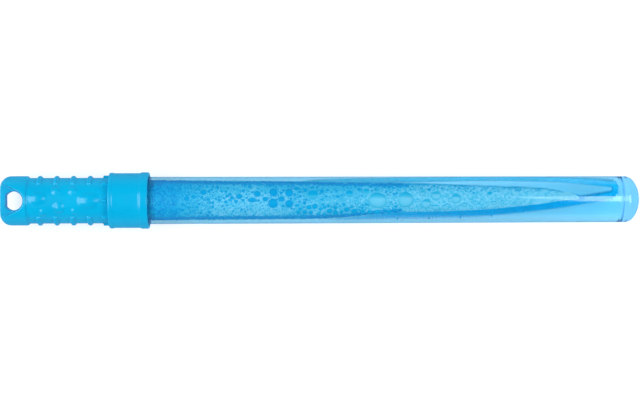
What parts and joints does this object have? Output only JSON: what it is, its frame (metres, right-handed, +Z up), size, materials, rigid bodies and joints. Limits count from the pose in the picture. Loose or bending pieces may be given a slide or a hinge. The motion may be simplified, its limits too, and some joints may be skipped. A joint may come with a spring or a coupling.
{
  "type": "bubble wand",
  "caption": "Clear tube of bubble solution with a domed base, closed by a ribbed screw-cap handle that carries a long toothed bubble loop on a stem.",
  "frame": {"origin": "middle of the overall box on the surface that the wand lies on", "axes": "+X along the tube from the handle's end to the domed end, +Z up from the surface, +Y to the side"},
  "size_m": [0.37, 0.0328, 0.0328],
  "materials": {
    "clear_plastic": "clear, polished",
    "soft_seal": "matte closed-cell foam",
    "wand_plastic": "satin moulded",
    "handle_plastic": "satin moulded"
  },
  "bodies": {
    "bottle": {"tube": "clear_plastic"},
    "seal": {"seal_washer": "soft_seal"},
    "wand": {"wand_stem": "wand_plastic", "wand_upper_rail": "wand_plastic", "wand_lower_rail": "wand_plastic", "wand_tip": "wand_plastic", "wand_plug": "handle_plastic"},
    "handle": {"screw_collar": "handle_plastic", "grip": "handle_plastic", "eye_cap": "handle_plastic"}
  },
  "joints": [
    {"name": "wand_draw", "type": "slide", "parent": "bottle", "child": "seal", "axis": [-1, 0, 0], "range_m": [0, 0.3]},
    {"name": "cap_lift", "type": "slide", "parent": "seal", "child": "wand", "axis": [-1, 0, 0], "range_m": [0, 0.00601]},
    {"name": "handle_turn", "type": "hinge", "parent": "wand", "child": "handle", "pos_m": [-0.1219, 0, 0.0164], "axis": [-1, 0, 0], "range_deg": [0, 540]}
  ],
  "couplings": [
    {"joint": "cap_lift", "follows": "handle_turn", "m_per_rad": 0.00063662}
  ]
}
